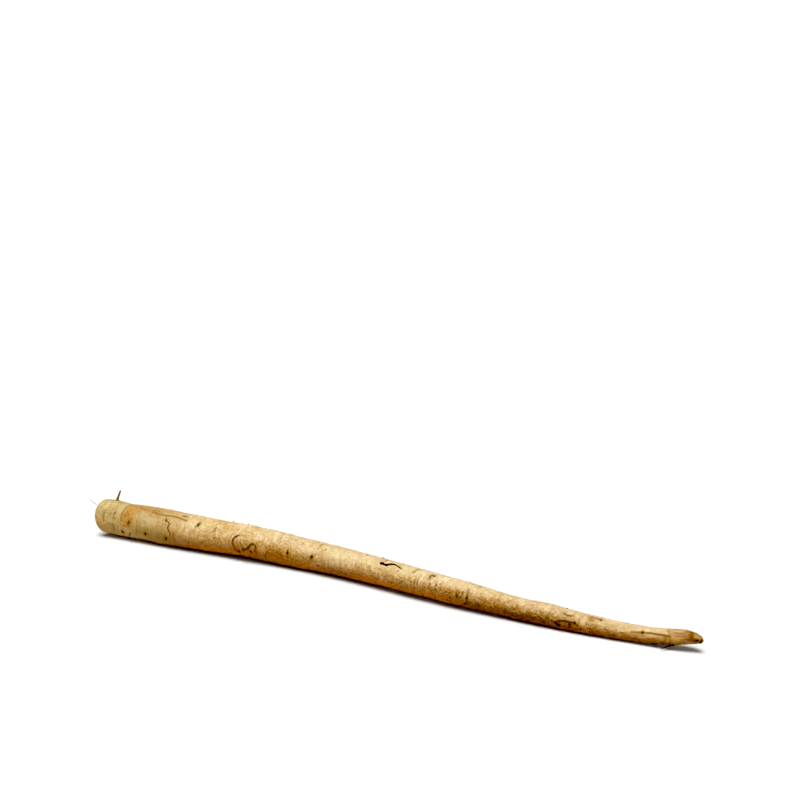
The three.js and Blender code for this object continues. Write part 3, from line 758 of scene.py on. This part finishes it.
def stub_spots():
    """One point for each broken rootlet stub, with its direction and size."""
    x, angle, size = np.array(all_stubs()).T
    points = place(x, angle, -STUB_SINK * size)
    marks = {"out": place(x, angle, 5) - points, "size": size}
    return mesh_piece("stub_spots", points, marks=marks)


# ---- Node trees ----

def linear(hex_colour):
    """The linear colour of an sRGB hex colour."""
    parts = [int(hex_colour[i:i + 2], 16) / 255 for i in (0, 2, 4)]
    bright = [p / 12.92 if p <= 0.04045 else ((p + 0.055) / 1.055) ** 2.4 for p in parts]
    return (*bright, 1.0)


class Nodes:
    """Short hand for building a tree of nodes."""

    def __init__(self, tree):
        self.tree = tree

    def add(self, kind, **values):
        """A node, given its settings, in small letters, and then its inputs.

        An input goes by its socket's identifier, with _ for a space.
        """
        node = self.tree.nodes.new(kind)
        for key, value in values.items():
            if key.islower():
                setattr(node, key, value)
                continue
            socket = next(s for s in node.inputs if s.identifier.replace(" ", "_") == key)
            if isinstance(value, bpy.types.NodeSocket):
                self.tree.links.new(value, socket)
            else:
                socket.default_value = value
        return node

    def out(self, kind, **values):
        """The first output of a new node."""
        return self.add(kind, **values).outputs[0]

    def math(self, operation, a, b):
        return self.out("ShaderNodeMath", operation=operation, Value=a, Value_001=b)

    def times(self, *values):
        """The product of the values."""
        product = values[-1]
        for value in values[-2::-1]:
            product = self.math("MULTIPLY", value, product)
        return product


class Tree(Nodes):
    """A geometry node tree with named inputs."""

    def __init__(self, name):
        super().__init__(bpy.data.node_groups.new(name, "GeometryNodeTree"))
        self.values = {}
        self.socket("Geometry", "Geometry", "INPUT")
        self.socket("Geometry", "Geometry", "OUTPUT")
        self.input = self.add("NodeGroupInput")
        self.start = self.input.outputs[0]
        self.end = self.add("NodeGroupOutput").inputs[0]

    def socket(self, name, kind, way):
        """The identifier of a new socket of the tree."""
        kind = "NodeSocket" + kind
        return self.tree.interface.new_socket(name, in_out=way, socket_type=kind).identifier

    def named(self, **values):
        """Named inputs of the tree, with the values that they are given."""
        for name, value in values.items():
            name = name.replace("_", " ")
            kind = {int: "Int", float: "Float"}.get(type(value), "Material")
            self.values[self.socket(name, kind, "INPUT")] = value
            yield self.input.outputs[name]

    def vector(self, operation, a, b):
        second = {"Scale" if operation == "SCALE" else "Vector_001": b}
        return self.out("ShaderNodeVectorMath", operation=operation, Vector=a, **second)

    def attribute(self, name, kind="FLOAT"):
        return self.out("GeometryNodeInputNamedAttribute", data_type=kind, Name=name)

    def position(self):
        return self.out("GeometryNodeInputPosition")

    def noise(self, vector, seed, detail=1.0, roughness=0.5):
        """Noise of one bump a unit: its value and its colour."""
        return self.add(
            "ShaderNodeTexNoise", noise_dimensions="4D", Vector=vector, W=seed, Scale=1.0,
            Detail=detail, Roughness=roughness,
        ).outputs

    def shaken(self, geometry, noise, amount):
        """The geometry with its points moved by a noise's colour."""
        shift = self.vector("SCALE", self.vector("SUBTRACT", noise[1], (0.5, 0.5, 0.5)), amount)
        return self.out("GeometryNodeSetPosition", Geometry=geometry, Offset=shift)

    def finish(self, geometry, *coats):
        """Realise, set each material where it is wanted, and end the tree."""
        shape = self.out("GeometryNodeRealizeInstances", Geometry=geometry)
        for material, where in coats:
            shape = self.out(
                "GeometryNodeSetMaterial", Geometry=shape, Selection=where, Material=material,
            )
        self.tree.links.new(shape, self.end)

    def applied_to(self, piece, name):
        """A plain mesh object of the tree's result on the piece, which is then removed."""
        modifier = piece.modifiers.new(name, "NODES")
        modifier.node_group = self.tree
        for key, value in self.values.items():
            modifier[key] = value
        graph = bpy.context.evaluated_depsgraph_get()
        mesh = bpy.data.meshes.new_from_object(
            piece.evaluated_get(graph), preserve_all_data_layers=True, depsgraph=graph,
        )
        mesh.name = name
        bpy.data.objects.remove(piece)
        return linked(name, mesh)


def wrinkled_skin(piece, skin, flesh):
    """Fine cross wrinkles and slow lumps, raised along the skin's normals."""
    tree = Tree("Skin wrinkles")
    depth, spacing, length, lump, lump_size, seed, skin, flesh = tree.named(
        Wrinkle_depth=0.16, Wrinkle_spacing=1.3, Wrinkle_length=7.0, Lump_height=0.5,
        Lump_size=16.0, Seed=4.0, Skin=skin, Flesh=flesh,
    )
    straight = tree.attribute("straight", "FLOAT_VECTOR")
    along = tree.math("DIVIDE", 1.0, spacing)
    around = tree.math("DIVIDE", 1.0, length)
    stretch = tree.out("ShaderNodeCombineXYZ", X=along, Y=around, Z=around)
    fibres = tree.noise(tree.vector("MULTIPLY", straight, stretch), seed, 2.0, 0.55)[0]
    slow = tree.noise(tree.vector("SCALE", straight, tree.math("DIVIDE", 1.0, lump_size)), seed)[0]
    high = tree.times(tree.math("SUBTRACT", fibres, 0.5), depth)
    low = tree.times(tree.math("SUBTRACT", slow, 0.5), lump)
    cut = tree.attribute("cut")
    inside = tree.math("SUBTRACT", 1.0, tree.math("MAXIMUM", cut, tree.attribute("broken")))
    height = tree.times(tree.math("ADD", high, low), inside, 2 * MM)
    lift = tree.vector("SCALE", tree.out("GeometryNodeInputNormal"), height)
    moved = tree.vector("ADD", tree.position(), lift)
    x, y, z = tree.add("ShaderNodeSeparateXYZ", Vector=moved).outputs
    above = tree.math("MAXIMUM", z, 0.0)
    resting = tree.out("ShaderNodeCombineXYZ", X=x, Y=y, Z=above)
    shaped = tree.out("GeometryNodeSetPosition", Geometry=tree.start, Position=resting)
    is_cut = tree.out("FunctionNodeCompare", data_type="FLOAT", A=cut, B=0.6)
    tree.finish(shaped, (skin, True), (flesh, is_cut))
    return tree.applied_to(piece, "burdock_root_skin")


def rootlet_tubes(lines, material):
    """Crinkled, lumpy, tapering threads along the lines."""
    tree = Tree("Rootlet threads")
    sides, crinkle, crinkle_size, lumps, seed, material = tree.named(
        Sides=8, Crinkle=0.3 * MM, Crinkle_size=1.7 * MM, Lumps=1.2, Seed=2.0, Material=material,
    )
    curve = tree.out("GeometryNodeMeshToCurve", Mesh=tree.start)
    scaled = tree.vector("SCALE", tree.position(), tree.math("DIVIDE", 1.0, crinkle_size))
    noise = tree.noise(scaled, seed)
    bent = tree.shaken(curve, noise, crinkle)
    profile = tree.out("GeometryNodeCurvePrimitiveCircle", Resolution=sides, Radius=0.5 * MM)
    swell = tree.math("ADD", 1.0, tree.times(tree.math("SUBTRACT", noise[0], 0.5), lumps))
    thickness = tree.times(tree.attribute("thickness"), swell)
    tube = tree.out(
        "GeometryNodeCurveToMesh", Curve=bent, Profile_Curve=profile, Scale=thickness,
        Fill_Caps=True,
    )
    tree.finish(tube, (material, True))
    return tree.applied_to(lines, "rootlets")


def stub_nubs(spots, material):
    """Low ragged nubs, each with a sunken dark end."""
    tree = Tree("Rootlet stubs")
    radius, height, ragged, seed, material = tree.named(
        Radius=STUB_RADIUS * MM, Height=(STUB_HEIGHT + STUB_SINK) * MM,
        Raggedness=STUB_RAGGED * MM, Seed=3.0, Material=material,
    )
    cone = tree.out(
        "GeometryNodeMeshCone", Vertices=STUB_SIDES, Side_Segments=3, Fill_Segments=2,
        Radius_Top=tree.times(radius, STUB_TOP_SHARE), Radius_Bottom=radius, Depth=height,
    )
    up = tree.add("ShaderNodeSeparateXYZ", Vector=tree.position()).outputs[2]
    fall = tree.times(tree.math("DIVIDE", up, height), STUB_TONE_FALL)
    toned = tree.out(
        "GeometryNodeStoreNamedAttribute", data_type="FLOAT", domain="POINT", Geometry=cone,
        Name="tone", Value=tree.math("SUBTRACT", STUB_TONE, fall),
    )
    out = tree.attribute("out", "FLOAT_VECTOR")
    turned = tree.out("FunctionNodeAlignRotationToVector", axis="Z", Vector=out)
    copies = tree.out(
        "GeometryNodeInstanceOnPoints", Points=tree.start, Instance=toned, Rotation=turned,
        Scale=tree.attribute("size"),
    )
    real = tree.out("GeometryNodeRealizeInstances", Geometry=copies)
    noise = tree.noise(tree.vector("SCALE", tree.position(), 1 / (STUB_RAGGED * MM)), seed)
    tree.finish(tree.shaken(real, noise, ragged), (material, True))
    return tree.applied_to(spots, "rootlet_stubs")


# ---- Materials ----

class Finish(Nodes):
    """A material's nodes. Its colours are sockets or sRGB hex."""

    def __init__(self, name, roughness, specular):
        self.material = bpy.data.materials.new(name)
        self.material.use_nodes = True
        super().__init__(self.material.node_tree)
        self.shader = self.tree.nodes["Principled BSDF"]
        self.shader.inputs["Roughness"].default_value = roughness
        self.shader.inputs["Specular IOR Level"].default_value = specular
        self.space = self.colour = None

    def attribute(self, name, output="Fac"):
        return self.add("ShaderNodeAttribute", attribute_name=name).outputs[output]

    def noise(self, along, around, detail, roughness=0.55, distortion=0.0):
        """Noise in the finish's space, with a bump every so far along the root and round it."""
        scale = 1 / along, 1 / around, 1 / around
        scaled = self.out("ShaderNodeMapping", Vector=self.space, Scale=scale)
        return self.out(
            "ShaderNodeTexNoise", Vector=scaled, Scale=1.0, Detail=detail, Roughness=roughness,
            Distortion=distortion,
        )

    def ramp(self, value, low, high, to_low=0.0, to_high=1.0):
        """A smooth ramp of the value."""
        return self.out(
            "ShaderNodeMapRange", interpolation_type="SMOOTHSTEP", Value=value, From_Min=low,
            From_Max=high, To_Min=to_low, To_Max=to_high,
        )

    def mix(self, factor, a, b, blend="MIX"):
        a, b = (linear(colour) if isinstance(colour, str) else colour for colour in (a, b))
        mixed = self.add(
            "ShaderNodeMix", data_type="RGBA", blend_type=blend, Factor_Float=factor, A_Color=a,
            B_Color=b,
        )
        return mixed.outputs[2]

    def coat(self, tone, *shares, blend="MIX"):
        """Lay a tone over the colour, as thick as the product of the shares."""
        self.colour = self.mix(self.times(*shares), self.colour, tone, blend)

    def done(self, relief, distance):
        """The material, with its colour and a bump of this height."""
        bump = self.out("ShaderNodeBump", Strength=1.0, Distance=distance, Height=relief)
        self.tree.links.new(self.colour, self.shader.inputs["Base Color"])
        self.tree.links.new(bump, self.shader.inputs["Normal"])
        return self.material


def skin_finish():
    """Matte tan skin: grain, mottling, cross fibres, creases, scars, stains, and painted light and
    shade.
    """
    f = Finish("root_skin", 0.72, 0.22)
    f.space = f.attribute("straight", "Vector")
    x = f.out("ShaderNodeSeparateXYZ", Vector=f.space)
    turn = f.attribute("turn")
    blotch = f.noise(26, 13, 2.0)
    patchy = f.noise(9, 7, 3.0, 0.6, 0.8)
    mottle = f.noise(3.2, 2.4, 3.0, 0.7, 1.0)
    speck = f.noise(1.1, 1.1, 2.0, 0.6)
    fibre = f.noise(0.9, 7, 3.0, 0.6, 0.3)
    streak = f.noise(12, 1.5, 2.0, 0.6)
    pore = f.noise(1.9, 1.9, 1.0, 0.5)
    fleck = f.noise(2.6, 0.9, 2.0, 0.6, 0.6)
    cross = f.noise(1.8, 8, 2.0, 0.6, 0.5)

    # Grain in every scale, weaker on the crown; the tip has long streaks in its place.
    grain = f.times(f.ramp(turn, 0.95, 0.1, 0.95, 1.0), f.ramp(x, 70, 125, 0.5, 1.0))
    # Light-toned grain fades toward the low side, part of the painted shade there.
    light = f.times(grain, f.ramp(turn, -0.2, 0.5, 0.35, 1.0))
    off_tip = f.ramp(x, 425, 460, 1.0, 0.35)
    fine, fine_light = f.times(grain, off_tip), f.times(light, off_tip)
    lengthwise = f.ramp(x, 420, 460)
    folds = f.ramp(blotch, 0.47, 0.6)
    folded, folded_light = f.times(fine, folds), f.times(fine_light, folds)
    f.colour = f.mix(f.ramp(blotch, 0.38, 0.62), "bb9f69", "c7af82")
    for value, low, high, strength, share, tone in (
        (patchy, 0.48, 0.68, 0.5, grain, "ae8541"), (patchy, 0.48, 0.34, 0.5, light, "d9c8a3"),
        (mottle, 0.47, 0.64, 0.6, fine, "9a6f2e"), (mottle, 0.5, 0.37, 0.45, fine_light, "e0d0ac"),
        (streak, 0.5, 0.72, 0.5, grain, "a5803f"), (fibre, 0.52, 0.68, 0.55, fine, "8e672b"),
        (speck, 0.53, 0.68, 0.55, fine, "80582a"), (pore, 0.64, 0.72, 0.7, fine, "8a5f1e"),
        (cross, 0.5, 0.64, 0.5, folded, "96702f"), (cross, 0.5, 0.36, 0.5, folded_light, "e6d8b6"),
        (streak, 0.48, 0.64, 0.4, lengthwise, "96702f"),
        (streak, 0.48, 0.34, 0.45, lengthwise, "e2cfa4"),
    ):
        f.coat(tone, f.ramp(value, low, high, 0, strength), share)

    # Slow changes of tone along the root and round it, most of them painted light and shade: a
    # darker top at the crown end, a creamier top, and deeper brown down the flank.
    low_side = f.ramp(turn, 0.5, 0.0)
    spared = f.times(f.ramp(low_side, 0, 1, 0.3, 1.0), f.ramp(x, 52, 26))
    # Painted shade: the top of the crown end is darker and its low side spared; the last few
    # millimetres are darker on their low side.
    f.coat("d8ccb2", f.ramp(x, 100, 45), f.math("SUBTRACT", 1.0, spared), blend="MULTIPLY")
    f.coat(f.mix(low_side, "f7ffff", "f2e8d4"), f.ramp(x, 36, 22), blend="MULTIPLY")
    # Painted light: the top is paler and creamier, from x 90 on.
    f.coat("c6b795", f.ramp(turn, 0.3, 0.95, 0, 0.3), f.ramp(x, 90, 240))
    f.coat(f.mix(patchy, "cfc3a2", "b7a67d"), f.attribute("pale"), 0.5)
    f.coat("857439", f.attribute("olive"), 0.4)
    f.coat("f7f4f2", f.ramp(x, 335, 400), blend="MULTIPLY")
    # Painted shade: darker from the top down to the side, past the crown.
    f.coat("efdfc9", f.ramp(turn, 0.85, 0.1, 0, f.ramp(x, 40, 95)), blend="MULTIPLY")
    # Painted shade: the skin turns deeper brown down the flank and underneath, weaker near the
    # crown.
    flank_shade = f.mix(f.ramp(mottle, 0.35, 0.65), "8a5a36", "6c4228")
    f.coat(flank_shade, f.ramp(turn, 0.3, -0.8, 0, 0.85), f.ramp(x, 34, 90, 0.16, 1.0))

    # Flecks, painted shade, rust and glints on the low front.
    farther = f.times(f.ramp(x, 150, 350, 0.25, 1), f.ramp(x, 490, 455))
    f.coat("5a3a16", f.ramp(fleck, 0.57, 0.68, 0, 0.65), f.ramp(turn, 0.75, 0.25), farther)
    # Painted shade darkens the low side here.
    f.coat("dfd2be", f.attribute("painted_low_shade"), blend="MULTIPLY")
    under = f.ramp(turn, 0.3, -0.3)
    rust, dark_rust = f.mix(under, "a87b3a", "bb7236"), f.mix(under, "8a5c22", "8a4c1a")
    f.coat(f.mix(f.ramp(mottle, 0.45, 0.7), rust, dark_rust), f.attribute("orange"), 0.8)
    coarse = f.times(f.ramp(turn, 0.45, 0.1), f.ramp(x, 90, 365), f.ramp(x, 480, 450))
    glint = f.mix(f.ramp(turn, 0.3, -0.1), "b98f52", "b97c3c")
    f.coat(glint, f.ramp(pore, 0.52, 0.66, 0, 0.5), coarse)
    f.coat("3a250e", f.ramp(fleck, 0.53, 0.6, 0, 0.6), coarse)

    # The skinned tip, then painted shade in the creases, and marks, knots and scars over
    # everything.
    tan = f.mix(f.ramp(patchy, 0.4, 0.6), "b08c5e", "8c6232")
    tan = f.mix(f.ramp(streak, 0.45, 0.65, 0, 0.75), tan, "6a401c")
    # Painted light: the tip's low side is lightened.
    tan = f.mix(f.times(f.ramp(turn, 0.5, 0.1, 0, 0.7), f.ramp(x, 501, 496)), tan, "d6a764")
    f.coat(tan, f.attribute("tip"), 0.8)
    # Painted shade in the creases and wrinkle troughs.
    f.coat("7a531f", f.ramp(f.attribute("crease"), 0.1, 0.9, 0, 0.55))
    f.coat("8a6029", f.attribute("halo"), 0.35)
    # Painted shade: marks are darker on the flank than on the top.
    f.coat(f.mix(f.ramp(turn, 0.6, 0.0), "7a5416", "5a3812"), f.attribute("brown"), 0.85)
    knot = f.attribute("knot")
    f.coat("6e4016", knot, 0.7)
    f.coat("2c1d10", knot, f.ramp(mottle, 0.42, 0.6, 0.1, 0.9))
    f.coat("33291c", f.attribute("scar"), f.ramp(speck, 0.35, 0.6, 0.8, 1.0))
    return f.done(f.math("ADD", f.times(fibre, 0.8), f.times(speck, 0.7)), 0.5 * MM)


def flesh_finish():
    """Knife-cut flesh: pale core with faint rays, soft greyish mauve ring and thin tan rim."""
    f = Finish("cut_flesh", 0.6, 0.35)
    f.space = f.attribute("straight", "Vector")
    radial = f.attribute("radial")
    wobble = f.math("SUBTRACT", f.noise(1 / 0.35, 1 / 0.35, 3.0), 0.5)
    at = f.math("ADD", radial, f.times(wobble, 0.22))
    fibre = f.noise(5, 0.625, 4.0, 0.65)
    f.colour = f.mix(f.ramp(fibre, 0.35, 0.65), "ece4d4", "d9ccb6")
    f.coat("c3b39b", f.ramp(f.attribute("ray"), -0.2, 0.5), f.ramp(radial, 0.1, 0.4, 0, 0.5))
    f.coat("ab9c9c", f.ramp(at, 0.5, 0.68, 0, 0.7), f.ramp(fibre, 0.3, 0.6, 1.0, 0.7))
    f.coat("d5c8b4", f.ramp(at, 0.74, 0.82, 0, 0.75))
    f.coat("8f6c38", f.ramp(radial, 0.82, 0.88))
    return f.done(fibre, 0.3 * MM)


def rootlet_finish():
    """Dried fibre: near black, brown, golden or pale, by the tone of each thread."""
    f = Finish("rootlet_fibre", 0.7, 0.2)
    f.space = f.add("ShaderNodeTexCoord").outputs["Object"]
    grain = f.noise(MM / 0.9, MM / 0.9, 3.0)
    tone = f.attribute("tone")
    f.colour = f.mix(grain, "1a1511", "3c3127")
    f.coat(f.mix(grain, "5e3e1e", "80592c"), f.ramp(tone, 0.05, 0.55))
    f.coat(f.mix(grain, "7d560f", "a57a2a"), f.ramp(tone, 0.6, 1.0))
    f.coat("b9bcc0", f.ramp(tone, 1.3, 1.8))
    return f.done(grain, 0.1 * MM)


def floor_finish():
    finish = Finish("studio_floor", 0.95, 0.05)
    finish.shader.inputs["Base Color"].default_value = linear("cdcdcd")
    return finish.material


# ---- Studio ----

CAMERA_PLACE = (0.4597, -0.8836, 0.4129)
CAMERA_AZIMUTH = 26.15
CAMERA_PITCH = 15.02
CAMERA_LENS = 62.7
SENSOR_WIDTH = 36
FLOOR_HALF = 400.0
FLOOR_DROP = 0.2
SKY_FADE = 0.05, 0.3
SKY_HIGH = 0.3
SKY_LOW = 1.15
SUN_STRENGTH = 4.6
SUN_SOFTNESS = 34.0
SUN_LEAN = 14.0
BLACK_LEVEL = 0.045


def studio_sky():
    """White near the horizon, dimmer overhead."""
    world = bpy.data.worlds.new("studio_light")
    world.use_nodes = True
    sky = Nodes(world.node_tree)
    direction = sky.add("ShaderNodeTexCoord").outputs["Generated"]
    up = sky.add("ShaderNodeSeparateXYZ", Vector=direction).outputs[2]
    strength = sky.out(
        "ShaderNodeMapRange", interpolation_type="SMOOTHSTEP", Value=up, From_Min=SKY_FADE[0],
        From_Max=SKY_FADE[1], To_Min=SKY_LOW, To_Max=SKY_HIGH,
    )
    background = world.node_tree.nodes["Background"]
    background.inputs["Color"].default_value = (1, 1, 1, 1)
    world.node_tree.links.new(strength, background.inputs["Strength"])
    bpy.context.scene.world = world


def studio():
    view = bpy.context.scene.view_settings
    view.view_transform = "Standard"
    view.use_curve_mapping = True
    view.curve_mapping.black_level = (BLACK_LEVEL,) * 3
    view.curve_mapping.update()
    camera = linked("camera", bpy.data.cameras.new("camera"))
    camera.data.lens = CAMERA_LENS
    camera.data.sensor_width = SENSOR_WIDTH
    camera.data.sensor_fit = "HORIZONTAL"
    camera.data.clip_end = 3 * FLOOR_HALF
    turn = Matrix.Rotation(math.radians(CAMERA_AZIMUTH), 4, "Z")
    tilt = Matrix.Rotation(math.radians(90 - CAMERA_PITCH), 4, "X")
    camera.matrix_world = Matrix.Translation(Vector(CAMERA_PLACE)) @ turn @ tilt
    bpy.context.scene.camera = camera

    half = FLOOR_HALF / MM
    corners = ((-half, -half), (half, -half), (half, half), (-half, half))
    points = np.array([(x, y, -FLOOR_DROP) for x, y in corners])
    floor = mesh_piece("studio_floor", points, [(0, 1, 2, 3)])
    floor.data.materials.append(floor_finish())
    floor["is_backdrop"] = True

    studio_sky()
    sun = linked("soft_light", bpy.data.lights.new("soft_light", "SUN"))
    sun.data.energy = SUN_STRENGTH
    sun.data.angle = math.radians(SUN_SOFTNESS)
    sun.matrix_world = Matrix.Rotation(math.radians(SUN_LEAN), 4, "X")


# ---- Assembly ----

def build_root():
    body = wrinkled_skin(root_mesh(), skin_finish(), flesh_finish())
    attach(body, BODY)
    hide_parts(NODE)


def build_rootlets():
    fibre = rootlet_finish()
    threads = rootlet_tubes(thread_lines(all_rootlets()), fibre)
    nubs = stub_nubs(stub_spots(), fibre)
    for piece in (threads, nubs):
        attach(piece, BODY)


studio()
build_root()
build_rootlets()

visual_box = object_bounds()
as_lists = [[list(corner) for corner in box] for box in (cad_box, visual_box)]
